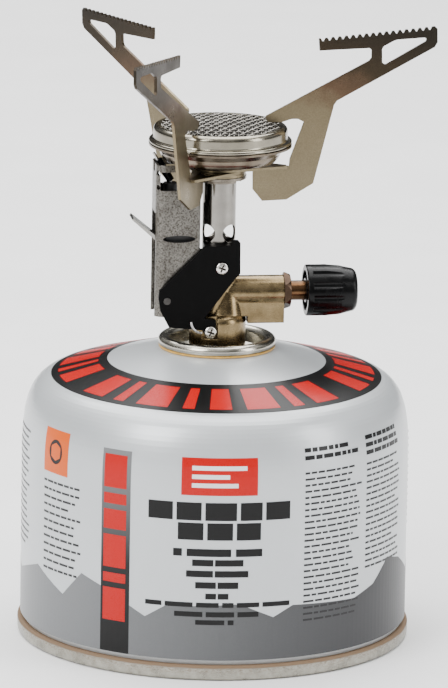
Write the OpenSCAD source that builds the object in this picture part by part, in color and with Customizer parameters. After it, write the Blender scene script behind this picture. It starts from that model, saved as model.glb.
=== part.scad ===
// Camping stove that screws onto a gas canister.
// Millimetres, +Z up. Origin: centre of the canister's foot ring, on the ground.
// +X runs along the gas valve's spindle, and -Y is the side with the housing screws.

/* [Canister] */
// Radius of the canister's side wall
can_r = 53.9; // [53:0.1:56]
// Height at which the side wall starts to curve into the shoulder
shoulder_z = 52; // [46:1:54]
// Thickness of the canister's sheet
can_wall = 0.8; // [0.5:0.1:1.2]
// Outer radius of the rolled rim round the valve
collar_r = 16.4; // [16:0.1:17]

/* [Valve] */
// Height of the gas valve's spindle
spindle_z = 96.8; // [96:0.1:98]
// Radius of the valve's barrel
barrel_r = 4.4; // [4.2:0.1:4.6]
// Distance from the stove's axis to the end of the barrel
barrel_end = 18.2; // [17:0.1:19]
// Radius of the knob
knob_r = 7.15; // [6.5:0.05:7.5]
// Length of the knob
knob_l = 14.2; // [13:0.1:16]
// Number of grip flutes round the knob
knob_flutes = 12; // [8:1:16]

/* [Burner] */
// Outer radius of the mixing tube
tube_r = 4.65; // [4.6:0.05:4.7]
// Diameter of each air hole in the mixing tube
air_hole_d = 4.9; // [4:0.1:5.2]
// Radius of the burner's rolled flange
flange_r = 19.8; // [19.4:0.1:20]
// Height of the underside of the burner bowl
bowl_z = 132.65; // [132.6:0.05:133]

/* [Pot supports] */
// Thickness of the pot supports' sheet
arm_t = 0.8; // [0.6:0.1:0.8]
// Number of teeth along each pot support
arm_teeth = 17; // [12:1:20]
// Depth of the teeth
tooth_h = 0.9; // [0.5:0.1:1.2]

/* [Igniter] */
// Thickness of the igniter bracket's sheet
bracket_t = 0.8; // [0.6:0.1:1]
// Height of the bracket's upper edge
bracket_top = 133.7; // [132:0.1:134]
// Thickness of the black side plates
plate_t = 1.4; // [1.2:0.1:1.6]

/* [Hidden] */
$fn = 72;

// Canister
seam_r = can_r + 0.8;
seam_h = 4.2;
dome_edge = [46, 73.1];    // radius and height where the shoulder meets the dome
dome_mid = [30.4, 77.4];
dome_top = [17, 81.1];
mouth_r = 14.3;            // hole in the dome
cup_floor_z = 78.6;
bead_r = 1.6;              // radius of the collar's rolled rim
bead_z = 83.0;
thread_r = 5.53;           // outside of the 7/16 inch valve thread
valve_top = 87.4;
stem_r = 1.4;
stem_top = 86.8;

// Gas valve
socket_r = 7.9;
socket_z0 = 80.4;
socket_ceiling = 88.6;
socket_bore = 5.63;
socket_top = 91.1;
shoulder = 2.2;            // radius of the socket's shoulder
neck_x = 1.7;              // the neck leans this far towards the spindle
boss_z = 88.4;             // underside of the boss below the barrel
boss_half = 3.6;
neck_r = 3.9;              // spigot that carries the mixing tube
tube_foot = 106;
stem_bore = 2.85;
spindle_r = 2.75;
knob_x0 = 24.5;

// Mixing tube and pot support hub
tube_bore = 3.98;
tube_top = 134.2;
air_hole_z = 114;
air_hole_turn = -8;
washer_z = 129.2;
washer_r = 7.4;
ring_z = 130.05;           // underside of the lowest hub ring
ring_step = arm_t + 0.05;
ring_r = 7.2;
ring_bore = tube_r + 0.07;

// Pot supports
front_turn = 241.6;        // where the folding supports stand when they are open
rear_turn = 120;
front_lean = 1.8;          // slack: degrees that each folding support's outer end hangs low
rear_lean = 4.5;
rear_drop = 1.1;           // the rear support's blade sits this much lower on its hub ring
plate_shift = 2;           // offset of a support's blade from the hub's centre line
rear_shift = 1;

// Igniter
pin_x = -15.1;
pin_z = 95.8;
pin_r = 1;
bracket_y = 5.9;           // half the depth of the bracket
piezo_x = -11.2;
piezo_bottom = 105.5;
lead_x = -13.7;
plate_y = 6.05;            // inner face of the black side plates
lug_z = 84.9;              // the plates' lower lugs start just above this height
screw_r = 1.8;

// A point on a cubic curve, 0 <= t <= 1
function bezier(a, b, c, d, t) =
    a * pow(1 - t, 3) + 3 * b * t * pow(1 - t, 2) + 3 * c * t * t * (1 - t) + d * t * t * t;

// Points of an arc in a profile
function arc(centre, r, from, to, steps) =
    [for (i = [0:steps]) let (a = from + (to - from) * i / steps) centre + r * [cos(a), sin(a)]];

// Outside of the canister above its seam, from the seam up to the mouth
can_outline = concat(
    [[can_r - 0.9, seam_h], [can_r, seam_h + 1.4]],
    [for (i = [0:16]) bezier([can_r, shoulder_z], [can_r, 63.5], [52.5, 71.3], dome_edge, i / 16)],
    [dome_mid, dome_top, [mouth_r + 1.5, dome_top.y + 0.25], [mouth_r, dome_top.y + 0.25]]
);

// Turn a shape drawn upright along Z so that it lies along +X, at the spindle's height
module on_spindle(x = 0) {
    translate([x, 0, spindle_z]) rotate([0, 90, 0]) children();
}

// Draw an outline given in X and Z, with thickness t, from y0 towards +Y
module upright(y0, t) {
    translate([0, y0 + t, 0]) rotate([90, 0, 0]) linear_extrude(t) children();
}

// A ring of rectangular section
module ring(r_out, r_in, z0, h) {
    translate([0, 0, z0]) difference() {
        cylinder(r = r_out, h = h);
        translate([0, 0, -1]) cylinder(r = r_in, h = h + 2);
    }
}

// A ring of round section
module round_ring(r, wire_r, z) {
    translate([0, 0, z]) rotate_extrude() translate([r, 0]) circle(wire_r, $fn = 24);
}

// A coil spring of round wire standing on z0
module coil(r, wire_r, z0, h, turns) {
    steps = 12;
    sides = 8;
    n = turns * steps;
    rise = h - 2 * wire_r;
    pitch_angle = atan2(rise, 2 * PI * r * turns);
    points = [for (i = [0:n], k = [0:sides - 1]) let (
        a = 360 * i / steps,
        b = 360 * k / sides,
        u = wire_r * cos(b),
        v = wire_r * sin(b)
    ) [
        (r + u) * cos(a) + v * sin(pitch_angle) * sin(a),
        (r + u) * sin(a) - v * sin(pitch_angle) * cos(a),
        z0 + wire_r + rise * i / n + v * cos(pitch_angle)
    ]];
    walls = [for (i = [0:n - 1], k = [0:sides - 1]) let (j = (k + 1) % sides)
        each [
            [i * sides + k, (i + 1) * sides + k, (i + 1) * sides + j],
            [i * sides + k, (i + 1) * sides + j, i * sides + j]
        ]];
    first_cap = [[for (k = [0:sides - 1]) k]];
    last_cap = [[for (k = [sides - 1:-1:0]) n * sides + k]];
    polyhedron(points, concat(walls, first_cap, last_cap));
}

// ---- Canister ----

module canister_shell() {
    inner = [for (p = can_outline) [p.x - can_wall, max(p.y - can_wall, seam_h)]];
    wall = [for (i = [len(inner) - 2:-1:0]) inner[i]];
    color("lightgray") rotate_extrude($fn = 180)
        polygon(concat(can_outline, [[mouth_r, dome_top.y - 0.5]], wall));
}

module canister_base() {
    panel_r = seam_r - 3.4;
    outer = concat(
        arc([seam_r - 1.1, 1.1], 1.1, -90, 0, 6),
        arc([seam_r - 0.8, seam_h - 0.8], 0.8, 0, 90, 6)
    );
    panel_top = [for (i = [0:12]) [panel_r * (1 - i / 12), 3.6 + 6.4 * sin(90 * i / 12)]];
    panel_low = [for (i = [0:12]) [panel_r * i / 12, 2.8 + 6.4 * sin(90 - 90 * i / 12)]];
    color("silver") rotate_extrude($fn = 180) polygon(concat(
        outer, [[panel_r + 0.4, seam_h]], panel_top, panel_low,
        arc([panel_r + 1, 1], 1, 180, 270, 5)
    ));
}

module valve_cup() {
    rim = collar_r - bead_r;
    color("gainsboro") rotate_extrude($fn = 120) union() {
        intersection() {
            translate([rim, bead_z]) circle(bead_r, $fn = 48);
            translate([0, bead_z - 1.05]) square([collar_r, 4]);
        }
        polygon([
            [rim - 0.6, bead_z - 1], [rim - 0.9, bead_z], [rim - bead_r, bead_z],
            [mouth_r - 1.1, cup_floor_z + 1.6],
            [mouth_r - 2.2, cup_floor_z + 0.7], [thread_r + 0.02, cup_floor_z + 0.7],
            [thread_r + 0.02, cup_floor_z], [mouth_r - 1.8, cup_floor_z],
            [mouth_r - 0.3, cup_floor_z + 1.6], [mouth_r - 0.2, bead_z - 1.2]
        ]);
    }
}

module cup_gasket() {
    color("goldenrod") ring(collar_r - 0.2, mouth_r + 0.1, dome_top.y + 0.3, 0.5);
}

module canister_valve() {
    color("darkgray") difference() {
        union() {
            translate([0, 0, cup_floor_z - 2.1]) cylinder(r = 7.4, h = 2);
            translate([0, 0, cup_floor_z - 2]) cylinder(r = thread_r, h = valve_top - cup_floor_z + 1.6);
            translate([0, 0, valve_top - 0.4]) cylinder(r1 = thread_r, r2 = thread_r - 0.4, h = 0.4);
            translate([0, 0, 66]) cylinder(r = 4.4, h = 11);
        }
        translate([0, 0, 67]) cylinder(r = 3, h = 16);
        translate([0, 0, 60]) cylinder(r = 1, h = 10);
        translate([0, 0, 80]) cylinder(r = stem_r + 0.25, h = 10);
        for (i = [0:4]) ring(thread_r + 1, thread_r - 0.35, 80.6 + 1.3 * i, 0.45);
    }
}

module valve_seal() {
    color("black") ring(2.95, stem_r + 0.05, 81, 1.9);
}

module valve_stem() {
    color("white") union() {
        translate([0, 0, 76]) cylinder(r = stem_r, h = stem_top - 76);
        translate([0, 0, 76.6]) cylinder(r = 2.6, h = 1.4);
    }
}

module valve_spring() {
    color("silver") coil(2.2, 0.3, 67.1, 9.3, 5);
}

// ---- Gas valve ----

module socket_seal() {
    mid = (valve_top + socket_ceiling) / 2;
    color("black") round_ring(4.2, 0.55, mid);
}

module valve_body() {
    color("tan") difference() {
        union() {
            // socket with a rounded shoulder
            rotate_extrude() polygon(concat(
                [[0, socket_z0], [socket_r - 0.5, socket_z0], [socket_r, socket_z0 + 0.5]],
                arc([socket_r - shoulder, socket_top - shoulder], shoulder, 0, 90, 8),
                [[0, socket_top]]
            ));
            // neck, waisted where the barrel crosses it
            translate([neck_x, 0, socket_top - 0.6]) cylinder(r1 = 5.9, r2 = 4.6, h = 7);
            translate([0, 0, socket_top - 0.6]) cylinder(r = 4.9, h = 11.3);
            on_spindle(-4.5) cylinder(r = barrel_r, h = barrel_end + 4.5);
            // boss under the barrel
            translate([8, -boss_half, boss_z]) cube([barrel_end - 8, 2 * boss_half, spindle_z - boss_z]);
            translate([3, -boss_half, boss_z + 2]) cube([6, 2 * boss_half, spindle_z - boss_z - 2]);
            translate([0, 0, 101]) cylinder(r = 4.9, h = tube_foot - 101);
            translate([0, 0, 101]) cylinder(r = neck_r, h = 9);
        }
        // flats that the side plates' lower lugs lie on
        for (side = [-1, 1]) translate([-6.1, side * 8 - 2.02, lug_z])
            cube([5.2, 4.04, 92 - lug_z]);
        translate([0, 0, socket_z0 - 1]) cylinder(r = socket_bore, h = socket_ceiling - socket_z0 + 1);
        translate([0, 0, socket_z0 - 0.01]) cylinder(r1 = socket_bore + 0.6, r2 = socket_bore, h = 0.6);
        translate([0, 0, 80]) cylinder(r = 1.25, h = 14);
        translate([0, 0, 93]) cylinder(r = 0.9, h = 3);
        translate([0, 0, 97]) cylinder(r = 0.9, h = 10);
        translate([0, 0, 105.5]) cylinder(r = 1.8, h = 10);
        on_spindle(-1.5) cylinder(r = 1, h = 6);
        on_spindle(3.4) cylinder(r = 2.2, h = 20);
        on_spindle(11) cylinder(r = 3.4, h = 20);
        translate([0, 0, 105]) rotate([90, 0, 0]) cylinder(r = 0.85, h = 20);
        translate([-2.9, -5.9, 86.9]) rotate([90, 0, 0]) cylinder(r = 0.85, h = 20);
    }
}

module depressor_pin() {
    color("gold") difference() {
        translate([0, 0, stem_top + 0.1]) cylinder(r = 1.2, h = 5.5);
        translate([0, 0, 80]) cylinder(r = 0.5, h = 14);
        translate([-2, -0.3, stem_top]) cube([4, 0.6, 0.7]);
    }
}

module jet() {
    color("gold") difference() {
        union() {
            translate([0, 0, 106]) cylinder(r = 1.75, h = 4.1);
            translate([0, 0, 110.05]) cylinder(r = 2.9, h = 2, $fn = 6);
            translate([0, 0, 112]) cylinder(r1 = 1.6, r2 = 1, h = 1.2);
        }
        translate([0, 0, 105]) cylinder(r = 0.8, h = 7);
        translate([0, 0, 111]) cylinder(r = 0.25, h = 4);
    }
}

module gland_nut() {
    color("darkgoldenrod") on_spindle(barrel_end + 0.02) difference() {
        union() {
            intersection() {
                cylinder(r = 5.2, h = 1.9, $fn = 6);
                cylinder(r1 = 5.4, r2 = 4.4, h = 2.2);
            }
            translate([0, 0, -4]) cylinder(r = 3.35, h = 4.5);
        }
        translate([0, 0, -5]) cylinder(r = stem_bore, h = 10);
    }
}

module spindle() {
    color("peru") difference() {
        union() {
            on_spindle(2.6) cylinder(r1 = 0.3, r2 = 0.9, h = 3);
            on_spindle(5.5) cylinder(r = 2.1, h = 7.3);
            on_spindle(12.7) cylinder(r = spindle_r, h = knob_x0 - 12.72);
            on_spindle(knob_x0 - 0.5) cylinder(r = 2.2, h = 10.4);
        }
        on_spindle(8) ring(4, 1.5, 0, 1.2);
    }
}

module spindle_seal() {
    color("black") on_spindle(8) round_ring(1.86, 0.33, 0.6);
}

module knob() {
    tip_x = knob_l;
    profile = concat(
        [[0, 0]],
        arc([knob_r - 0.4, 0.4], 0.4, -90, 0, 3),
        [[knob_r, 5.5], [knob_r - 0.35, 9.5]],
        arc([knob_r - 2.7, tip_x - 1.6], 1.6, 10, 90, 6),
        [[0, tip_x]]
    );
    color([0.06, 0.06, 0.07]) on_spindle(knob_x0) difference() {
        rotate_extrude($fn = 96) polygon(profile);
        translate([0, 0, -1]) cylinder(r = 2.25, h = 11.2);
        translate([0, 0, -1]) ring(5.6, 3.4, 0, 3);
        for (i = [0:knob_flutes - 1]) rotate(360 / knob_flutes * i + 8)
            translate([knob_r + 0.55, 0, 1.6]) cylinder(r = 1.15, h = knob_l, $fn = 32);
    }
}

// ---- Mixing tube and burner ----

module mixing_tube() {
    color("silver") difference() {
        union() {
            translate([0, 0, tube_foot + 0.02]) cylinder(r = tube_r, h = tube_top - tube_foot);
            translate([0, 0, tube_top - 0.6]) cylinder(r1 = tube_r, r2 = tube_r + 0.5, h = 0.6);
        }
        translate([0, 0, tube_foot - 1]) cylinder(r = tube_bore, h = 40);
        for (i = [0:3]) rotate(45 + 90 * i + air_hole_turn)
            translate([0, 0, air_hole_z]) rotate([0, 90, 0]) cylinder(d = air_hole_d, h = 10);
        ring(tube_r + 1, tube_r - 0.3, washer_z - 0.9, 0.7);
    }
}

module tube_circlip() {
    color("dimgray") translate([0, 0, washer_z - 0.85]) linear_extrude(0.6) difference() {
        circle(6.1);
        circle(tube_r - 0.28);
        rotate(-35) translate([0, -1.5]) square([10, 3]);
    }
}

module arm_washer() {
    color("gray") ring(washer_r, tube_r + 0.05, washer_z, 0.8);
}

module burner_bowl() {
    t = 0.6;
    outside = concat(
        [[9.1, bowl_z], [12.4, bowl_z + 0.9]],
        arc([12, 138], 5, -48, -15, 5),
        [[18.2, 138.3], [flange_r, 138.4]]
    );
    inside = [for (i = [len(outside) - 1:-1:1]) outside[i] + [i == len(outside) - 1 ? 0 : -t, t]];
    color("lightgray") rotate_extrude($fn = 120) polygon(concat(
        [[tube_r + 0.04, bowl_z]], outside, inside, [[9, bowl_z + t], [tube_r + 0.04, bowl_z + t]]
    ));
}

module burner_drum() {
    t = 0.6;
    color("silver") rotate_extrude($fn = 120) polygon(concat(
        [[18, 139.02], [flange_r - 0.5, 139.02]],
        arc([flange_r - 0.55, 139.6], 0.55, -90, 90, 8),
        [[18.75, 140.3], [18.6, 140.6]],
        arc([17.2, 142.6], 1.4, 0, 90, 8),
        [[16.4, 143.9], [16.4, 143.9 - t]],
        arc([17.2, 142.5], 0.8, 90, 0, 6),
        [[18, 140.6]]
    ));
}

module burner_plate() {
    hole_rings = 7;
    color("gray") translate([0, 0, 142.55]) linear_extrude(0.7) difference() {
        circle(16.9, $fn = 96);
        for (k = [1:hole_rings], i = [0:6 * k - 1])
            rotate(60 / k * i + 7 * k) translate([2.15 * k, 0]) circle(0.68, $fn = 16);
    }
}

// ---- Pot supports ----

// Serrated bar, blade, strut and leg of one pot support, drawn in radius and height
module arm_outline() {
    bar_in = [26.6, 168.2];
    bar_out = [58.2, 171.3];
    pitch = (bar_out - bar_in) / arm_teeth;
    teeth = [for (i = [0:arm_teeth - 1]) each [
        bar_in + pitch * (i + 0.02),
        bar_in + pitch * (i + 0.32),
        bar_in + pitch * (i + 0.6) - [0, tooth_h],
        bar_in + pitch * (i + 0.76) - [0, tooth_h]
    ]];
    difference() {
        polygon(concat(teeth, [
            bar_out, [59, 171.4], [59.7, 170.7], [59.8, 167], [59, 165.6], [32, 150.8], [31.2, 149.6],
            [25.8, 127.6], [18.4, 123.1], [11.6, 122.8], [8.9, 126.1], [8.8, 131.6], [18.9, 131.6],
            [19.1, 134.4], [22.9, 144.9], [21.2, 145.8], [19.5, 145.8], [16.7, 144.9], [12.9, 144.9],
            [12.2, 145.9], [12.3, 146.7], [40.8, 161.9], [41.4, 162.7], [41.4, 165], [40.7, 165.5],
            [26.9, 164.9]
        ]));
        // window between the bar and the strut
        polygon([
            [45, 160.9], [44.4, 161.5], [44.3, 165.2], [44.8, 166], [47.6, 167.5], [48.6, 167.8],
            [56.1, 168.3], [56.7, 167.9], [56.5, 167.2], [45.5, 160.9]
        ]);
    }
}

// One pot support on its hub ring; side is -1 or 1 for the side that its blade stands on,
// and lug is how far the ring's widening stands back from the blade
module pot_support(turn, level, side, shift, lug, lean = 0, drop = 0) {
    knee = [22, 131];
    z = ring_z + ring_step * level;
    rotate(turn) difference() {
        union() {
            translate([knee.x, 0, knee.y - drop]) rotate([0, lean, 0]) translate([-knee.x, 0, -knee.y])
                upright(side * shift - arm_t / 2, arm_t) arm_outline();
            translate([0, 0, z]) linear_extrude(arm_t) hull() {
                circle(ring_r);
                translate([9, side * (shift - lug)]) circle(3);
                translate([17.4, side * (shift - 0.6)]) square([2, 2], center = true);
            }
            translate([8.9, side * shift - arm_t / 2, 130 - drop])
                cube([10, arm_t, z + arm_t + drop - 130]);
        }
        translate([0, 0, z - 5]) cylinder(r = ring_bore, h = 10);
    }
}

module arm_right() {
    color("tan") pot_support(0, 2, -1, plate_shift, 4);
}

module arm_rear() {
    color("tan") pot_support(rear_turn, 0, 1, rear_shift, 2, rear_lean, rear_drop);
}

module arm_front() {
    color("tan") pot_support(front_turn, 1, -1, plate_shift, 2, front_lean);
}

// ---- Housing ----

// Side plate from the hinge pin up to the mixing tube
module side_plate_outline(top) {
    difference() {
        intersection() {
            polygon([
                [-17.3, 98.6], [-5.8, 110], [-4.7, 111.1], [2.5, 111.2], [2.8, 112.7], [4.5, 112.7],
                [5.1, 112], [5.2, 103.4], [3.4, 101.4], [-4.6, 90.8], [-1.4, 90.2], [-1.2, 86.2],
                [-1.9, 85.4], [-4, 85.4], [-5.2, 87.4], [-14.5, 88.4], [-16.9, 93], [-17.5, 96.8]
            ]);
            translate([-20, 80]) square([40, top - 80]);
        }
        translate([pin_x, pin_z]) circle(pin_r + 0.03);
        translate([0, 105]) circle(0.95);
        translate([-2.9, 86.9]) circle(0.95);
    }
}

// Saddle between a side plate and the mixing tube, for the front (side -1) or rear (side 1)
module tube_saddle(side, top) {
    difference() {
        translate([-4.6, side * 3.05 - 3, tube_foot + 0.05]) cube([9.6, 6, top - tube_foot - 0.1]);
        translate([0, 0, 100]) cylinder(r = tube_r + 0.05, h = 20);
    }
}

module housing_front() {
    color([0.05, 0.05, 0.05]) union() {
        upright(-plate_y - plate_t, plate_t) side_plate_outline(120);
        tube_saddle(-1, 111.2);
    }
}

module housing_rear() {
    top = 107.4;
    color([0.05, 0.05, 0.05]) union() {
        upright(plate_y, plate_t) side_plate_outline(top);
        tube_saddle(1, top);
    }
}

// Pan head screw that points along +Y, with its head's seat at y = 0
module pan_screw(length) {
    difference() {
        union() {
            rotate([90, 0, 0]) rotate_extrude() polygon(concat(
                [[0, 0], [screw_r, 0]],
                arc([screw_r - 0.7, 0.15], 0.7, 0, 90, 6),
                [[0, 0.95]]
            ));
            rotate([-90, 0, 0]) cylinder(r = 0.8, h = length);
        }
        for (a = [0, 90]) translate([0, -0.8, 0]) rotate([0, a + 20, 0])
            cube([2.1, 1.3, 0.5], center = true);
    }
}

module housing_screws() {
    seat = -plate_y - plate_t - 0.01;
    color("gainsboro") union() {
        translate([0, seat, 105]) pan_screw(3.9);
        translate([-2.9, seat, 86.9]) pan_screw(1.4);
    }
}

module hinge_pin() {
    l = 2 * (plate_y + plate_t) + 0.3;
    color("silver") translate([pin_x, -l / 2, pin_z]) rotate([-90, 0, 0]) cylinder(r = pin_r, h = l);
}

module earth_wire() {
    color("silver") translate([-5.2, -plate_y - plate_t - 0.6, 90]) rotate([90, 0, 0]) rotate(180)
        rotate_extrude(angle = 88) translate([3.2, 0]) circle(0.35, $fn = 16);
}

// ---- Igniter ----

module igniter_bracket() {
    left = -18.3;
    front_right = -6;
    rear_right = -12.4;
    low = 91;
    slot_z = 113;
    bend = 2.5;
    lever_half = 3.9;
    lever_top = 120;
    color("silver") difference() {
        translate([0, 0, low]) linear_extrude(bracket_top - low) difference() {
            union() {
                hull() {
                    translate([left + bend, bend - bracket_y]) circle(bend, $fn = 40);
                    translate([left + bend, bracket_y - bend]) circle(bend, $fn = 40);
                    translate([rear_right - 1, -bracket_y]) square([1, 2 * bracket_y]);
                }
                translate([rear_right - 1, -bracket_y]) square([front_right - rear_right + 1, bracket_t]);
            }
            hull() {
                translate([left + bend, bend - bracket_y]) circle(bend - bracket_t, $fn = 40);
                translate([left + bend, bracket_y - bend]) circle(bend - bracket_t, $fn = 40);
                translate([rear_right, bracket_t - bracket_y]) square([1, 2 * (bracket_y - bracket_t)]);
            }
        }
        // the lever swings out through a long slot in the left wall
        translate([left - 1, -lever_half, low - 1]) cube([4, 2 * lever_half, lever_top - low + 1]);
        // window through the front and rear walls
        translate([-17.2, -10, 126.6]) cube([6, 20, 5.2]);
        // slot
        upright(-10, 6) translate([-11.8, slot_z]) scale([1, 0.22]) circle(4.5);
        // two small holes in the front bend
        for (z = [127.5, 131.5]) translate([left + bend, bend - bracket_y, z])
            rotate([0, 90, 218]) cylinder(r = 0.7, h = 4);
        // the electrode's insulator comes out over the left wall
        translate([left - 1, -1.5, 131.2]) cube([2.4, 3, 4]);
        translate([pin_x, 10, pin_z]) rotate([90, 0, 0]) cylinder(r = pin_r + 0.03, h = 20);
        // corner cut off the lower right end of the front wall
        upright(-10, 6) polygon([[-12, 90], [-5, 90], [-5, 108]]);
        // room for the burner bowl and for the front pot support's hub ring
        upright(-10, 6) polygon([
            [-12.2, 132.5], [-9.3, 132.5], [-9.3, 130.4], [-5, 130.4], [-5, 140], [-12.2, 140]
        ]);
    }
}

module piezo_body() {
    top = 121;
    color([0.08, 0.08, 0.08]) difference() {
        union() {
            translate([piezo_x - 4.1, -3.9, piezo_bottom]) cube([8.2, 7.8, top - piezo_bottom]);
            translate([piezo_x, 0, piezo_bottom - 1.5]) cylinder(r = 3.2, h = 2);
            translate([lead_x, 0, top - 0.5]) cylinder(r = 1.9, h = spark_start.z - 0.6 - top + 0.5);
        }
        translate([piezo_x, 0, 100]) cylinder(r = 1.68, h = 10);
        translate([lead_x, 0, 118]) cylinder(r = 0.55, h = 20);
    }
}

module piezo_plunger() {
    foot_z = 97.9;
    color("ivory") translate([piezo_x, 0, 0]) union() {
        translate([0, 0, foot_z]) cylinder(r1 = 2.2, r2 = 2.8, h = 0.6);
        translate([0, 0, foot_z + 0.6]) cylinder(r = 2.8, h = 0.6);
        translate([0, 0, foot_z + 1]) cylinder(r = 1.6, h = 8.5);
    }
}

module piezo_spring() {
    color("silver") translate([piezo_x, 0, 0]) coil(2.2, 0.28, 99.15, piezo_bottom - 1.55 - 99.15, 4);
}

// Steel tip that carries the spark to the edge of the burner
spark_start = [lead_x, 0, 128.5];
spark_knee = [-17.3, 0, 134.3];
spark_tip = [-18.5, 0, 136.3];

// A round rod from one point to another
module rod(a, b, r) {
    d = b - a;
    translate(a) rotate([0, acos(d.z / norm(d)), atan2(d.y, d.x)]) cylinder(r = r, h = norm(d));
}

module electrode_insulator() {
    color([0.1, 0.1, 0.1]) difference() {
        rod(spark_start, spark_knee, 1.1);
        rod(spark_start - (spark_knee - spark_start), spark_knee + (spark_knee - spark_start), 0.5);
        translate([lead_x, 0, 120]) cylinder(r = 0.5, h = spark_start.z + 0.2 - 120);
    }
}

module electrode() {
    color("silver") union() {
        translate([lead_x, 0, 121.2]) cylinder(r = 0.45, h = spark_start.z - 121.1);
        rod(spark_start, spark_knee, 0.42);
        rod(spark_knee - [0, 0, 0.1], spark_tip, 0.4);
    }
}

module trigger_lever() {
    half = 3.6;
    outer = -17.3;
    toe_top = 97.6;
    color("silver") difference() {
        union() {
            // up inside the bracket, out through its left wall to the thumb tab, and the toe
            upright(-half, 2 * half) polygon([
                [pin_x, pin_z - 1.6], [outer + 0.5, pin_z - 0.8], [outer, pin_z + 0.6],
                [outer, 111.5], [-24.6, 118], [-24.2, 118.6], [outer + 0.5, 112.6],
                [outer + 0.7, 112], [outer + 0.7, 99.7], [outer + 1.2, toe_top + 0.6],
                [outer + 1.8, toe_top], [piezo_x + 0.2, toe_top], [piezo_x + 0.2, toe_top - 1.2]
            ]);
            translate([pin_x, half, pin_z]) rotate([90, 0, 0]) cylinder(r = 2.1, h = 2 * half);
        }
        translate([pin_x, 10, pin_z]) rotate([90, 0, 0]) cylinder(r = pin_r + 0.05, h = 20);
    }
}

canister_shell();
canister_base();
valve_cup();
cup_gasket();
canister_valve();
valve_seal();
valve_stem();
valve_spring();
socket_seal();
valve_body();
depressor_pin();
jet();
gland_nut();
spindle();
spindle_seal();
knob();
mixing_tube();
tube_circlip();
arm_washer();
burner_bowl();
burner_drum();
burner_plate();
arm_right();
arm_rear();
arm_front();
housing_front();
housing_rear();
housing_screws();
hinge_pin();
earth_wire();
igniter_bracket();
piezo_body();
piezo_plunger();
piezo_spring();
electrode_insulator();
electrode();
trigger_lever();
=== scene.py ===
"""A camping stove on its gas canister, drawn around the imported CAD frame. Lengths are in metres."""
import math
import random

import bmesh
import bpy
from mathutils import Matrix, Vector


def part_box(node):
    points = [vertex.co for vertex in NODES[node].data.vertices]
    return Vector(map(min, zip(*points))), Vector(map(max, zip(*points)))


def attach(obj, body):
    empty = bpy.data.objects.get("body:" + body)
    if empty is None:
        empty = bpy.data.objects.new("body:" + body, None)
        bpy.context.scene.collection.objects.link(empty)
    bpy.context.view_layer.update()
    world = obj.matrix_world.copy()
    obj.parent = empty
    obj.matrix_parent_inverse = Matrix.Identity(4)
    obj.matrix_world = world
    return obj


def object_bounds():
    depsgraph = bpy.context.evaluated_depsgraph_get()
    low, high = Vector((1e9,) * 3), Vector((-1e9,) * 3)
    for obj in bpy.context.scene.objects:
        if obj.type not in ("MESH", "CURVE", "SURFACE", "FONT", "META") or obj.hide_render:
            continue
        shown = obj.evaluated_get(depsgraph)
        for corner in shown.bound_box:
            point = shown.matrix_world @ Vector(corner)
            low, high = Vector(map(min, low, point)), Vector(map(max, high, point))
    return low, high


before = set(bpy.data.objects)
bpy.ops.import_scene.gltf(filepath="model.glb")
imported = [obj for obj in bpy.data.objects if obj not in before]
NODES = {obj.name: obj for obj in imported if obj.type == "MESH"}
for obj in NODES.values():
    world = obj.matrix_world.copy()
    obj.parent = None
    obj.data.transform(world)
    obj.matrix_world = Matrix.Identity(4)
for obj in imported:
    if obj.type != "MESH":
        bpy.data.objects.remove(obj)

MM = 0.001
CAD_BOX = [list(corner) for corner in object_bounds()]


# ---- Sizes read from the frame ----

def side(node, axis, high):
    """One face of a node's box: axis 0, 1 or 2, and its low or high side."""
    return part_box(node)[1 if high else 0][axis]


CAN_R = (side("canister_shell", 0, True) - side("canister_shell", 0, False)) / 2
PLATE_Z = side("burner_plate", 2, True)
PLATE_R = (side("burner_plate", 0, True) - side("burner_plate", 0, False)) / 2

# The printed side of the canister faces this way, in degrees from -Y towards +X
LABEL_TURN = -8

# The canister's upper outline: the side wall ends, the shoulder curves in, and the dome slopes up
WALL_TOP, SHOULDER_TOP = 52 * MM, 73.1 * MM
SHOULDER_PULL_Z = (63.5 * MM, 71.3 * MM)        # heights of the shoulder curve's two middle points
SHOULDER_PULL_R = 52.5 * MM                     # radius of the second of them
DOME_R = (46 * MM, 30.4 * MM)                   # outer and inner radius of the dome's printed part
DOME_Z = (SHOULDER_TOP, 77.4 * MM)

# How far printed skins reach into the sheet, and where the lower print starts
INK_ROOT = -0.03 * MM
PRINT_LOW = 5.6


# ---- Node materials ----

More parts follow.
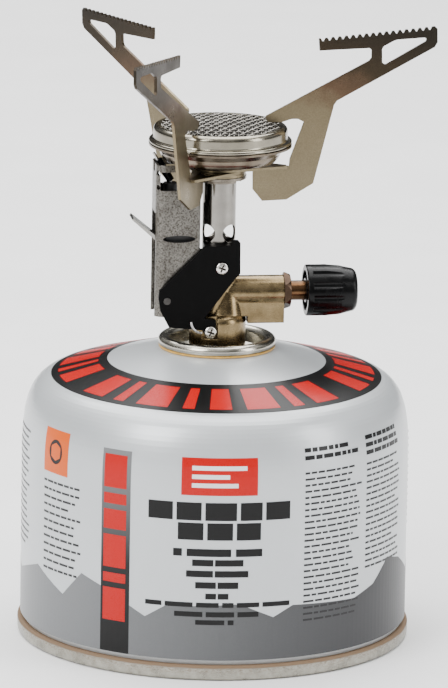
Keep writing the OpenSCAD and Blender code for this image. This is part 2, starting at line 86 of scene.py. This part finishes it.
class Material:
    """A Principled material and short ways to add nodes to it."""

    def __init__(self, name, **sockets):
        self.data = bpy.data.materials.new(name)
        self.data.use_nodes = True
        self.tree = self.data.node_tree
        self.tree.nodes.clear()
        out = self.tree.nodes.new("ShaderNodeOutputMaterial")
        self.shader = self.tree.nodes.new("ShaderNodeBsdfPrincipled")
        self.tree.links.new(self.shader.outputs[0], out.inputs[0])
        self.place = self.tree.nodes.new("ShaderNodeTexCoord").outputs["Object"]
        self.set(**sockets)

    def set(self, **sockets):
        for name, value in sockets.items():
            self.feed(self.shader.inputs[name.replace("_", " ")], value)

    def feed(self, socket, value):
        if isinstance(value, bpy.types.NodeSocket):
            self.tree.links.new(value, socket)
        elif isinstance(value, tuple) and len(value) == 3 and len(socket.default_value) == 4:
            socket.default_value = (*value, 1)
        else:
            socket.default_value = value

    def add(self, kind, inputs=(), out=0, **settings):
        made = self.tree.nodes.new("ShaderNode" + kind)
        for name, value in settings.items():
            setattr(made, name, value)
        for key, value in dict(inputs).items():
            self.feed(made.inputs[key], value)
        return made.outputs[out]

    def stretched(self, stretch):
        """Object coordinates in millimetres, multiplied by stretch along X, Y and Z."""
        scale = tuple(s / MM for s in stretch)
        return self.add("Mapping", {"Vector": self.place, "Scale": scale})

    def noise(self, scale, stretch=(1, 1, 1), detail=4.0, roughness=0.55):
        """Noise whose blobs are about 1 / scale millimetres across."""
        where = self.stretched(stretch)
        return self.add("TexNoise", {
            "Vector": where, "Scale": scale, "Detail": detail, "Roughness": roughness,
        })

    def ramp(self, factor, stops, out=0):
        """A colour ramp; stops are (place, grey or colour)."""
        made = self.tree.nodes.new("ShaderNodeValToRGB")
        self.tree.links.new(factor, made.inputs[0])
        points = made.color_ramp.elements
        while len(points) < len(stops):
            points.new(0.5)
        for point, (where, colour) in zip(points, stops):
            point.position = where
            point.color = (*colour, 1) if isinstance(colour, tuple) else (colour, colour, colour, 1)
        return made.outputs[out]

    def math(self, operation, a, b=0.0, c=0.0):
        return self.add("Math", {0: a, 1: b, 2: c}, operation=operation)

    def span(self, value, low, high, to_low=0.0, to_high=1.0):
        """Value rescaled from low..high to to_low..to_high, clamped."""
        return self.add("MapRange", {
            "Value": value, "From Min": low, "From Max": high, "To Min": to_low, "To Max": to_high,
        })

    def mix(self, factor, a, b, blend="MIX"):
        return self.add(
            "Mix", {"Factor": factor, 6: a, 7: b}, out=2, data_type="RGBA", blend_type=blend
        )

    def axis(self, name):
        """One object coordinate, in metres."""
        return self.add("SeparateXYZ", {0: self.place}, out="XYZ".index(name))

    def from_axis(self):
        """Distance from the stove's upright axis, in metres."""
        flat = self.add("VectorMath", {0: self.place, 1: (1, 1, 0)}, operation="MULTIPLY")
        return self.add("VectorMath", {0: flat}, out=1, operation="LENGTH")

    def bump(self, height, strength, depth_mm, under=None):
        """Relief of depth_mm from a height of 0 to 1."""
        inputs = {"Height": height, "Strength": strength, "Distance": depth_mm * MM}
        if under is not None:
            inputs["Normal"] = under
        return self.add("Bump", inputs)

    def rounded(self, radius_mm):
        """Edges that catch the light as if they were rounded."""
        return self.add("Bevel", {"Radius": radius_mm * MM}, samples=6)


def steel(name, colour, dark, rough, grain=(1, 1, 1), grain_scale=3.0, relief=0.01, edge=0.15,
          blotch=0.25):
    """Bare metal: cloudy colour, roughness that varies, and fine grain stretched along one way."""
    m = Material(name, Metallic=1.0)
    clouds = m.noise(blotch, detail=6)
    fine = m.noise(grain_scale, grain, detail=3)
    tone = m.ramp(clouds, [(0.3, dark), (0.68, colour)])
    streak = m.ramp(fine, [(0.25, 0.82), (0.75, 1.0)])
    m.set(
        Base_Color=m.mix(1.0, tone, streak, "MULTIPLY"),
        Roughness=m.span(m.math("ADD", m.math("MULTIPLY", clouds, 0.5), m.math("MULTIPLY", fine, 0.5)),
                         0.3, 0.7, rough[0], rough[1]),
        Normal=m.bump(fine, 0.6, relief, m.rounded(edge)),
    )
    return m


def heat_tinted_arms():
    """Stamped stainless steel, straw low down and dark bronze high up and towards the tips."""
    m = Material("arm_heat_tint", Metallic=1.0)
    clouds = m.noise(0.16, detail=5)
    grain = m.noise(2.6, detail=4)
    outward = m.math("MULTIPLY_ADD", m.from_axis(), 0.2, m.axis("Z"))
    wander = m.math("MULTIPLY_ADD", clouds, 0.01, outward)
    tint = m.ramp(m.span(wander, 0.14, 0.185), [
        (0.0, (0.23, 0.19, 0.12)), (0.42, (0.21, 0.17, 0.105)), (0.56, (0.13, 0.083, 0.053)),
        (0.7, (0.06, 0.045, 0.03)), (1.0, (0.036, 0.031, 0.025)),
    ])
    mottled = m.ramp(grain, [(0.3, 0.78), (0.7, 1.0)])
    m.set(
        Base_Color=m.mix(1.0, tint, mottled, "MULTIPLY"),
        Roughness=m.span(clouds, 0.35, 0.65, 0.26, 0.4),
        Normal=m.bump(grain, 0.5, 0.012, m.rounded(0.14)),
    )
    return m


def speckled_steel():
    """Satin sheet with a fine brown speckle and a slight rolling texture."""
    m = Material("bracket_satin", Metallic=1.0)
    clouds = m.noise(0.2, detail=5)
    specks = m.noise(1.9, detail=5, roughness=0.7)
    tone = m.ramp(clouds, [(0.3, (0.15, 0.14, 0.125)), (0.7, (0.21, 0.2, 0.18))])
    speckle = m.ramp(specks, [(0.38, (0.3, 0.28, 0.26)), (0.5, 0.8), (0.6, 1.0)])
    m.set(
        Base_Color=m.mix(1.0, tone, speckle, "MULTIPLY"),
        Roughness=m.span(specks, 0.3, 0.7, 0.42, 0.26),
        Normal=m.bump(specks, 0.7, 0.03, m.rounded(0.12)),
    )
    return m


def enamel(name, colour, flake=0.35):
    """Silver-grey paint with fine flake, a clear coat and a little orange peel."""
    m = Material(name, Metallic=flake, Coat_Weight=0.35, Coat_Roughness=0.12)
    flakes = m.noise(9.0, detail=2)
    clouds = m.noise(0.05, detail=3)
    peel = m.noise(1.2, detail=2)
    shade = m.ramp(clouds, [(0.3, tuple(0.95 * c for c in colour)), (0.7, colour)])
    sparkle = m.ramp(flakes, [(0.35, 0.93), (0.65, 1.0)])
    m.set(
        Base_Color=m.mix(1.0, shade, sparkle, "MULTIPLY"),
        Roughness=m.span(flakes, 0.3, 0.7, 0.32, 0.42),
        Normal=m.bump(peel, 0.25, 0.01),
    )
    return m


def ink(name, colour_at, gloss=0.35):
    """Printing ink on the enamel; colour_at(material) gives its colour socket or colour."""
    m = Material(name, Specular_IOR_Level=0.2, Coat_Weight=0.08, Coat_Roughness=0.15)
    speck = m.noise(6.0, detail=3)
    tone = m.ramp(speck, [(0.3, 0.88), (0.6, 1.0)])
    m.set(
        Base_Color=m.mix(1.0, colour_at(m), tone, "MULTIPLY"),
        Roughness=m.span(speck, 0.3, 0.7, gloss - 0.06, gloss + 0.06),
        Normal=m.bump(m.noise(1.2, detail=2), 0.25, 0.01),
    )
    return m


def moulding(name, colour, rough, texture=0.02, edge=0.25):
    """Moulded plastic with spark-eroded texture and scuffed high spots."""
    m = Material(name)
    spark = m.noise(5.0, detail=4)
    scuff = m.noise(0.5, (1, 1, 0.3), detail=6)
    pale = tuple(min(1.0, c * 1.5 + 0.001) for c in colour)
    m.set(
        Base_Color=m.ramp(scuff, [(0.45, colour), (0.8, pale)]),
        Roughness=m.span(scuff, 0.3, 0.7, rough[0], rough[1]),
        Normal=m.bump(spark, 0.5, texture, m.rounded(edge)),
    )
    return m


def seam_tin():
    """Tinplate seam with brown spots and a dark groove along its upper edge."""
    m = Material("seam_tin", Metallic=1.0)
    clouds = m.noise(0.3, detail=5)
    spots = m.noise(1.1, (1, 1, 2.5), detail=6, roughness=0.7)
    high = m.span(m.axis("Z"), 1.6 * MM, 4.0 * MM)
    spotted = m.math("MULTIPLY", m.span(spots, 0.47, 0.62), m.math("MULTIPLY_ADD", high, 0.9, 0.12))
    wavy = m.math("MULTIPLY_ADD", clouds, 0.5 * MM, m.axis("Z"))
    groove = m.span(wavy, 3.5 * MM, 3.9 * MM)
    rust = m.math("MAXIMUM", spotted, groove)
    bare = m.ramp(clouds, [(0.3, (0.25, 0.24, 0.205)), (0.7, (0.44, 0.425, 0.37))])
    m.set(
        Base_Color=m.mix(rust, bare, (0.16, 0.10, 0.055)),
        Metallic=m.math("SUBTRACT", 1.0, rust),
        Roughness=m.span(m.math("ADD", clouds, rust), 0.4, 1.4, 0.24, 0.75),
        Normal=m.bump(spots, 0.5, 0.03),
    )
    return m


def nickel_with_painted_recess_shade():
    """Bright screw heads with painted shade: the cross recess and the heads' sides, deeper than the front
    face, are coloured near-black.
    """
    m = steel("screw_nickel_painted_recess_shade", (0.80, 0.79, 0.75), (0.62, 0.60, 0.56), (0.14, 0.26))
    front = side("housing_screws", 1, False)
    # painted shade: the colour goes near-black wherever the surface lies deeper than the heads' front
    # face
    depth = m.math("MULTIPLY_ADD", m.noise(1.5), 0.1 * MM, m.axis("Y"))
    face = m.span(depth, front + 0.45 * MM, front + 0.3 * MM)
    m.set(Base_Color=m.mix(face, (0.035, 0.03, 0.025), (0.72, 0.70, 0.65)))
    return m


def assign_materials():
    """Gives every CAD node its material."""
    can = enamel("can_enamel", (0.53, 0.555, 0.57))
    tin = seam_tin()
    collar = steel("collar_steel", (0.6, 0.575, 0.5), (0.42, 0.4, 0.34), (0.16, 0.3), relief=0.006)
    lacquer = moulding("gold_lacquer", (0.52, 0.30, 0.06), (0.25, 0.4), 0.005)
    zinc = steel("zinc_plate", (0.60, 0.59, 0.55), (0.40, 0.38, 0.34), (0.25, 0.4))
    rubber = moulding("seal_rubber", (0.015, 0.015, 0.015), (0.55, 0.75))
    white = moulding("white_acetal", (0.72, 0.70, 0.64), (0.35, 0.5))
    wire = steel("spring_wire", (0.66, 0.66, 0.66), (0.45, 0.44, 0.43), (0.2, 0.35))
    body = steel("valve_brass", (0.3, 0.225, 0.12), (0.15, 0.108, 0.055), (0.2, 0.34),
                 grain=(0.2, 1, 1), relief=0.008, edge=0.4)
    nut = steel("nut_brass", (0.07, 0.045, 0.03), (0.04, 0.026, 0.018), (0.2, 0.3))
    brass = steel("spindle_brass", (0.15, 0.08, 0.04), (0.07, 0.035, 0.016), (0.16, 0.3),
                  grain=(4, 0.3, 0.3))
    knob = moulding("knob_gloss", (0.0012, 0.0012, 0.0014), (0.2, 0.3), 0.005, 0.3)
    knob.set(Specular_IOR_Level=0.16)
    tube = steel("tube_steel", (0.30, 0.285, 0.26), (0.22, 0.205, 0.185), (0.12, 0.22),
                 grain=(0.4, 0.4, 5), relief=0.004)
    washer = steel("washer_steel", (0.27, 0.24, 0.2), (0.14, 0.12, 0.095), (0.22, 0.35))
    bowl = steel("bowl_steel", (0.2, 0.165, 0.125), (0.11, 0.088, 0.066), (0.16, 0.28),
                 grain=(0.3, 0.3, 4), relief=0.005)
    drum = steel("drum_steel", (0.34, 0.315, 0.25), (0.24, 0.22, 0.175), (0.14, 0.26),
                 grain=(0.3, 0.3, 5), relief=0.005)
    plastic = moulding("housing_plastic", (0.001, 0.001, 0.001), (0.32, 0.48), 0.012, 0.2)
    plastic.set(Specular_IOR_Level=0.07)
    soot = steel("port_plate", (0.06, 0.055, 0.05), (0.02, 0.02, 0.018), (0.5, 0.7))
    piezo = moulding("piezo_plastic", (0.014, 0.014, 0.014), (0.35, 0.5), 0.02)
    bright = nickel_with_painted_recess_shade()
    satin = speckled_steel()
    dull = steel("pin_steel", (0.12, 0.115, 0.11), (0.06, 0.058, 0.055), (0.35, 0.5))
    lever = steel("lever_steel", (0.45, 0.44, 0.41), (0.3, 0.29, 0.27), (0.2, 0.32))
    arms = heat_tinted_arms()
    chosen = {
        can: ["canister_shell"],
        tin: ["canister_base"],
        collar: ["valve_cup"],
        lacquer: ["cup_gasket"],
        zinc: ["canister_valve"],
        rubber: ["valve_seal", "socket_seal", "spindle_seal"],
        white: ["valve_stem", "piezo_plunger"],
        wire: ["valve_spring", "piezo_spring", "electrode", "earth_wire"],
        body: ["valve_body"],
        nut: ["gland_nut"],
        brass: ["spindle", "depressor_pin", "jet"],
        knob: ["knob"],
        tube: ["mixing_tube"],
        washer: ["tube_circlip", "arm_washer"],
        bowl: ["burner_bowl"],
        drum: ["burner_drum"],
        plastic: ["housing_front", "housing_rear", "electrode_insulator"],
        piezo: ["piezo_body"],
        bright: ["housing_screws"],
        dull: ["hinge_pin"],
        satin: ["igniter_bracket"],
        lever: ["trigger_lever"],
        arms: ["arm_right", "arm_rear", "arm_front"],
        soot: ["burner_plate"],
    }
    for material, names in chosen.items():
        for name in names:
            mesh = NODES[name].data
            mesh.materials.clear()
            mesh.materials.append(material.data)


# ---- Making pieces ----

def piece(name, bm, body, material, smooth=True):
    """Turns a bmesh into a piece that rides on a body."""
    mesh = bpy.data.meshes.new(name)
    bmesh.ops.recalc_face_normals(bm, faces=bm.faces)
    for face in bm.faces:
        face.smooth = smooth
    bm.to_mesh(mesh)
    bm.free()
    mesh.materials.append(material.data)
    made = bpy.data.objects.new(name, mesh)
    bpy.context.scene.collection.objects.link(made)
    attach(made, body)
    return made


def bezier(a, b, c, d, t):
    """A point on a cubic curve."""
    s = 1 - t
    return a * s ** 3 + 3 * b * t * s * s + 3 * c * t * t * s + d * t ** 3


def shoulder_radius(z):
    """Outside radius of the canister's side and shoulder at a height, both in metres."""
    if z <= WALL_TOP:
        return CAN_R
    low, high = 0.0, 1.0
    for _ in range(30):
        t = (low + high) / 2
        if bezier(WALL_TOP, *SHOULDER_PULL_Z, SHOULDER_TOP, t) < z:
            low = t
        else:
            high = t
    return bezier(CAN_R, CAN_R, SHOULDER_PULL_R, DOME_R[0], t)


def on_side(turn, z, lift):
    """A point on the canister's side: turn in degrees from the label's middle, height in mm."""
    a = math.radians(turn + LABEL_TURN - 90)
    r = shoulder_radius(z * MM) + lift
    return Vector((r * math.cos(a), r * math.sin(a), z * MM))


def on_dome(turn, share, lift):
    """A point on the canister's conical dome, share 0 at its outer edge and 1 at its inner."""
    a = math.radians(turn + LABEL_TURN - 90)
    r = DOME_R[0] + (DOME_R[1] - DOME_R[0]) * share
    z = DOME_Z[0] + (DOME_Z[1] - DOME_Z[0]) * share
    slope = math.atan2(DOME_Z[1] - DOME_Z[0], DOME_R[0] - DOME_R[1])
    r += lift * math.sin(slope)
    return Vector((r * math.cos(a), r * math.sin(a), z + lift * math.cos(slope)))


def slab(bm, columns, surface, lift, step_v):
    """A thin closed skin over a surface; columns are (u, low v, high v)."""
    tallest = max(high - low for _, low, high in columns)
    rows = max(1, math.ceil(tallest / step_v))
    layers = []
    for height in (lift, INK_ROOT):
        layers.append([
            [bm.verts.new(surface(u, low + (high - low) * j / rows, height)) for j in range(rows + 1)]
            for u, low, high in columns
        ])
    top, under = layers
    last = len(columns) - 1
    for i in range(last):
        for j in range(rows):
            for layer in layers:
                bm.faces.new((layer[i][j], layer[i + 1][j], layer[i + 1][j + 1], layer[i][j + 1]))
        for j in (0, rows):
            bm.faces.new((top[i][j], top[i + 1][j], under[i + 1][j], under[i][j]))
    for i in (0, last):
        for j in range(rows):
            bm.faces.new((top[i][j], top[i][j + 1], under[i][j + 1], under[i][j]))


def bar_columns(u0, u1, v0, v1, step=2.0):
    """Columns of one printed bar, no more than step degrees apart."""
    count = max(1, math.ceil(abs(u1 - u0) / step))
    return [(u0 + (u1 - u0) * i / count, v0, v1) for i in range(count + 1)]


def print_bars(name, bars, surface, lift, material, step_v=3.0):
    """Prints bars, each (u0, u1, v0, v1), as one piece."""
    bm = bmesh.new()
    for u0, u1, v0, v1 in bars:
        slab(bm, bar_columns(u0, u1, v0, v1), surface, lift, step_v)
    return piece(name, bm, "canister", material, smooth=False)


def greeked_lines(rng, u0, u1, top, bottom, pitch, height, ragged=0.35):
    """Rows of small bars that stand for lines of print."""
    bars = []
    v = top
    while v - height > bottom:
        end = u0 + (u1 - u0) * (1 - ragged * rng.random() ** 2)
        u = u0
        while u < end - 0.6:
            word = min(rng.uniform(1.2, 3.6), end - u)
            bars.append((u, u + word, v - height, v))
            u += word + 0.55
        v -= pitch
    return bars


def blocks(u0, u1, v0, v1, widths, gap):
    """A row of solid blocks whose widths share u0..u1 in these proportions."""
    room = u1 - u0 - gap * (len(widths) - 1)
    unit = room / sum(widths)
    made = []
    u = u0
    for width in widths:
        made.append((u, u + width * unit, v0, v1))
        u += width * unit + gap
    return made


# ---- Printing on the canister ----

# Skyline of the grey lower print: degrees from the label's middle, height in mm
RIDGE = [
    (-180, 21), (-150, 26), (-128, 19), (-104, 25), (-82, 19), (-64, 24), (-50, 18.5), (-42, 26),
    (-32, 23), (-20, 17), (-14, 20.5), (8, 21.5), (18, 17.5), (24, 20.5), (46, 19.5), (55, 22),
    (63, 28), (72, 26), (84, 20), (112, 27), (140, 18), (160, 24), (180, 21),
]


def ridge_columns():
    """The grey lower print: from just over the seam up to the ridge line, all round."""
    columns = []
    for (u0, v0), (u1, v1) in zip(RIDGE, RIDGE[1:]):
        count = max(1, math.ceil((u1 - u0) / 2))
        for i in range(count):
            t = i / count
            columns.append((u0 + (u1 - u0) * t, PRINT_LOW, v0 + (v1 - v0) * t))
    columns.append((RIDGE[-1][0], PRINT_LOW, RIDGE[-1][1]))
    return columns


def print_canister():
    """All of the canister's printing, as generic bars and blocks."""
    rng = random.Random(7)
    thin, middle, upper = 0.05 * MM, 0.08 * MM, 0.11 * MM

    def grey_with_painted_side_shade(m):
        # painted shade: the grey ink runs from light on the -X side to near-black on the +X side, shading
        # painted into the print
        painted_side_shade = m.span(m.axis("X"), -50 * MM, 45 * MM)
        return m.ramp(painted_side_shade, [(0.0, (0.17, 0.176, 0.182)), (0.55, (0.08, 0.082, 0.085)),
                                  (1.0, (0.028, 0.028, 0.03))])

    def fading_band(m):
        return m.ramp(m.span(m.axis("Z"), 5 * MM, 63 * MM), [
            (0.0, (0.001, 0.001, 0.001)), (0.45, (0.01, 0.01, 0.01)), (1.0, (0.17, 0.173, 0.177)),
        ])

    grey = ink("ink_grey_painted_shade", grey_with_painted_side_shade)
    band = ink("ink_band", fading_band)
    black = ink("ink_black", lambda m: (0.0015, 0.0015, 0.0016), 0.35)
    soft_black = ink("ink_soft_black", lambda m: (0.02, 0.02, 0.021), 0.35)
    red = ink("ink_red", lambda m: (0.43, 0.002, 0.001), 0.3)
    orange = ink("ink_orange", lambda m: (0.62, 0.09, 0.001))
    white = ink("ink_white", lambda m: (0.78, 0.78, 0.78))

    bm = bmesh.new()
    slab(bm, ridge_columns(), on_side, thin, 30)
    piece("print_ridge", bm, "canister", grey, smooth=False)

    print_bars("print_band", [(-34.6, -25.0, 5.7, 62.6), (145.4, 155, 5.7, 62.6)], on_side, middle, band)
    stack = blocks(14.6, 61.2, 0, 1, [5, 1.4, 5, 3, 1.6, 5], 1.6)
    print_bars(
        "print_band_marks",
        [(u - 0.5, u + 7.0, v0, v1) for u in (-33.3, 146.7) for v0, v1, _, _ in stack],
        on_side, upper, red,
    )
    print_bars("print_panel", [(-9.6, 12.7, 52.0, 62.4)], on_side, thin, red)
    print_bars(
        "print_panel_bars",
        [(-6.5, 9.5, 59.0, 60.2), (-6.5, 4.5, 56.6, 57.8), (-6.5, 7.0, 54.2, 55.4)],
        on_side, middle, white,
    )
    heading = blocks(-19.3, 22.6, 45.0, 50.0, [8, 8, 10, 7, 8], 1.1)
    heading += blocks(-10.4, 13.8, 39.5, 44.3, [8, 8, 7.6], 1.1)
    lines = [
        (-11.7, 14.3, 34.9, 37.0, [1, 5, 3], 1.4), (-6.1, 8.8, 32.2, 34.0, [3, 4], 0.5),
        (-7.8, 10.3, 29.1, 30.9, [4, 5], 0.5), (-5.1, 7.4, 25.9, 27.7, [3, 3], 0.5),
        (-2.1, 4.6, 22.9, 24.5, [1, 1], 0.5), (-19.9, 22.9, 20.6, 21.9, [3, 5, 4, 2, 4, 5], 1.0),
        (-11.1, 13.5, 17.9, 19.3, [4, 4, 3], 1.0), (-4.9, 6.2, 15.7, 17.0, [5, 1], 1.0),
    ]
    for u0, u1, v0, v1, widths, gap in lines:
        heading += blocks(u0, u1, v0, v1, widths, gap)
    print_bars("print_heading", heading, on_side, upper, black)

    small = greeked_lines(rng, -60.2, -42.5, 49.5, 24.0, 2.25, 0.6)
    small += greeked_lines(rng, 27.4, 48.4, 57.4, 14.0, 1.72, 0.55, 0.25)
    small += greeked_lines(rng, 50.8, 71.0, 57.0, 26.0, 1.72, 0.55, 0.25)
    small += greeked_lines(rng, -86.0, -72.0, 60.0, 26.0, 1.9, 0.55)
    small += greeked_lines(rng, 90.0, 132.0, 58.0, 30.0, 2.0, 0.6)
    small += greeked_lines(rng, -140.0, -100.0, 58.0, 30.0, 2.0, 0.6)
    print_bars("print_small", small, on_side, middle, soft_black)
    notes = greeked_lines(rng, 27.4, 48.0, 64.0, 59.0, 2.1, 1.15, 0.2)
    notes += greeked_lines(rng, 50.8, 70.0, 64.6, 58.5, 2.1, 1.15, 0.2)
    print_bars("print_notes", notes, on_side, middle, black)

    print_bars("print_square", [(-60.4, -48.4, 51.8, 64.0)], on_side, thin, orange)
    bm = bmesh.new()
    dot_turn, dot_z, half_turn, half_z, parts, nudge = -54.4, 57.9, 3.2, 3.4, 24, 1e-3
    columns = []
    for i in range(parts + 1):
        # the nudge keeps the two end columns from closing to a point
        a = math.pi * (1 - i / parts) + (nudge if i == 0 else -nudge if i == parts else 0)
        rise = half_z * math.sin(a)
        columns.append((dot_turn + half_turn * math.cos(a), dot_z - rise, dot_z + rise))
    slab(bm, columns, on_side, middle, 30)
    piece("print_square_dot", bm, "canister", black, smooth=False)

    print_bars("print_shoulder", [(-180, 180, 0.0, 1.0)], on_dome, thin, black, step_v=2)
    marks = []
    for start in (-176, -56, 64):
        marks += blocks(start, start + 106, 0.13, 0.84, [3, 1.2, 3.4, 1.2, 2.2, 3.4, 1.2, 3], 5.5)
    print_bars("print_shoulder_marks", marks, on_dome, middle, red, step_v=2)


# ---- Burner gauze ----

def gauze():
    """Woven wire laid over the burner's perforated disc."""
    steel_wire = steel("gauze_wire", (0.46, 0.44, 0.4), (0.16, 0.15, 0.135), (0.2, 0.35), blotch=0.6)
    bm = bmesh.new()
    wire_r, sides, per_crossing = 0.21 * MM, 6, 4
    crown = 0.6 * MM                         # how far the gauze domes up at its middle
    spacing = (1.25 * MM, 2.7 * MM)          # between the wires that run away, and across
    reach = PLATE_R - 0.5 * MM
    turn = Matrix.Rotation(math.radians(LABEL_TURN), 3, "Z")
    for direction in (0, 1):
        apart, crossing = spacing[1 - direction], spacing[direction]
        count = int(reach / apart)
        for k in range(-count, count + 1):
            across = k * apart
            half = math.sqrt(reach ** 2 - across ** 2)
            steps = max(4, int(2 * half / crossing * per_crossing))
            rings = []
            for i in range(steps + 1):
                along = -half + 2 * half * i / steps
                wave = 1.2 * wire_r * math.cos(math.pi * (along / crossing + k + direction))
                dome = crown * (1 - (along ** 2 + across ** 2) / PLATE_R ** 2)
                flat = Vector((along, across, 0) if direction == 0 else (across, along, 0))
                centre = turn @ flat + Vector((0, 0, PLATE_Z + 2.25 * wire_r + dome + wave))
                out = turn @ Vector((0, 1, 0) if direction == 0 else (1, 0, 0))
                rings.append([
                    bm.verts.new(centre + wire_r * (out * math.cos(a) + Vector((0, 0, math.sin(a)))))
                    for a in [2 * math.pi * s / sides for s in range(sides)]
                ])
            for a, b in zip(rings, rings[1:]):
                for s in range(sides):
                    t = (s + 1) % sides
                    bm.faces.new((a[s], a[t], b[t], b[s]))
            bm.faces.new(rings[0])
            bm.faces.new(rings[-1])
    piece("burner_gauze", bm, "stove", steel_wire)


# ---- Stage ----

def stage():
    """Pale floor, soft studio light and a camera at the photograph's angle."""
    scene = bpy.context.scene
    world = bpy.data.worlds.new("studio")
    scene.world = world
    world.use_nodes = True
    tree = world.node_tree
    tree.nodes.clear()

    def add(kind, **settings):
        made = tree.nodes.new("ShaderNode" + kind)
        for name, value in settings.items():
            setattr(made, name, value)
        return made

    def ramp_along(direction, stops):
        """Greys along one direction of the surroundings, from -1 to 1."""
        dot = add("VectorMath", operation="DOT_PRODUCT")
        dot.inputs[1].default_value = direction
        tree.links.new(where.outputs["Generated"], dot.inputs[0])
        half = add("Math", operation="MULTIPLY_ADD")
        half.inputs[1].default_value = 0.5
        half.inputs[2].default_value = 0.5
        tree.links.new(dot.outputs["Value"], half.inputs[0])
        tone = add("ValToRGB")
        tree.links.new(half.outputs[0], tone.inputs[0])
        points = tone.color_ramp.elements
        while len(points) < len(stops):
            points.new(0.5)
        for point, (place, grey) in zip(points, stops):
            point.position = place
            point.color = (grey, grey, grey, 1)
        return tone.outputs[0]

    # dark and bright cards left and right of the stove, under a bright ceiling
    where = add("TexCoord")
    cards = ramp_along((0.99, -0.139, 0), [
        (0.0, 0.12), (0.1, 0.5), (0.2, 0.95), (0.32, 0.25), (0.46, 0.3), (0.56, 0.55),
        (0.7, 0.3), (0.8, 0.1), (0.9, 0.7), (1.0, 0.2),
    ])
    ceiling = ramp_along((0, 0, 1), [(0.5, 0.5), (0.62, 0.8), (0.85, 1.9)])
    depth = ramp_along((0.139, 0.99, 0), [(0.0, 1.0), (0.6, 1.0), (0.78, 0.45), (1.0, 0.2)])
    shade = cards
    for other in (ceiling, depth):
        both = add("Mix", data_type="RGBA", blend_type="MULTIPLY")
        both.inputs[0].default_value = 1
        tree.links.new(shade, both.inputs[6])
        tree.links.new(other, both.inputs[7])
        shade = both.outputs[2]
    back = add("Background")
    tree.links.new(shade, back.inputs[0])
    back.inputs[1].default_value = 1.0
    tree.links.new(back.outputs[0], add("OutputWorld").inputs[0])

    mesh = bpy.data.meshes.new("floor")
    bm = bmesh.new()
    bmesh.ops.create_grid(bm, x_segments=2, y_segments=2, size=3)
    bm.to_mesh(mesh)
    bm.free()
    floor = bpy.data.objects.new("floor", mesh)
    floor.location.z = CAD_BOX[0][2] - 0.05 * MM         # just clear of the foot ring
    scene.collection.objects.link(floor)
    paper = Material("floor_paper", Roughness=0.9)
    paper.set(Base_Color=paper.ramp(paper.noise(0.02), [(0.3, 0.86), (0.7, 0.9)]))
    mesh.materials.append(paper.data)

    def softbox(name, place, size, power, aim=(0, 0, 0.09)):
        light = bpy.data.lights.new(name, "AREA")
        light.shape = "RECTANGLE"
        light.size, light.size_y = size
        light.energy = power
        made = bpy.data.objects.new(name, light)
        made.location = place
        made.rotation_euler = (Vector(aim) - Vector(place)).to_track_quat("-Z", "Y").to_euler()
        scene.collection.objects.link(made)

    softbox("key", (-0.6, -0.55, 0.6), (0.45, 0.6), 9)
    softbox("fill", (0.8, -0.5, 0.4), (0.3, 0.7), 5)
    softbox("top", (0.0, 0.2, 1.1), (1.3, 1.1), 26)
    softbox("backdrop", (0.0, 1.2, 1.3), (1.6, 0.6), 26, (0.0, 1.6, 0.0))

    camera_data = bpy.data.cameras.new("camera")
    camera = bpy.data.objects.new("camera", camera_data)
    scene.collection.objects.link(camera)
    scene.camera = camera
    camera_data.sensor_width = 36
    camera_data.lens = 355
    camera_data.clip_end = 20
    azimuth, pitch, roll = math.radians(-8), math.radians(13.18), math.radians(0.996)
    distance, height = 1.8369, 0.51195
    aside = math.radians(0.062)
    camera.location = (distance * math.sin(azimuth), -distance * math.cos(azimuth), height)
    forward = Vector((
        -math.sin(azimuth - aside) * math.cos(pitch), math.cos(azimuth - aside) * math.cos(pitch),
        -math.sin(pitch),
    ))
    right = forward.cross(Vector((0, 0, 1))).normalized()
    up = right.cross(forward)
    right, up = right * math.cos(roll) + up * math.sin(roll), up * math.cos(roll) - right * math.sin(roll)
    camera.rotation_mode = "QUATERNION"
    camera.rotation_quaternion = Matrix((right, up, -forward)).transposed().to_quaternion()


stage()
assign_materials()
print_canister()
gauze()
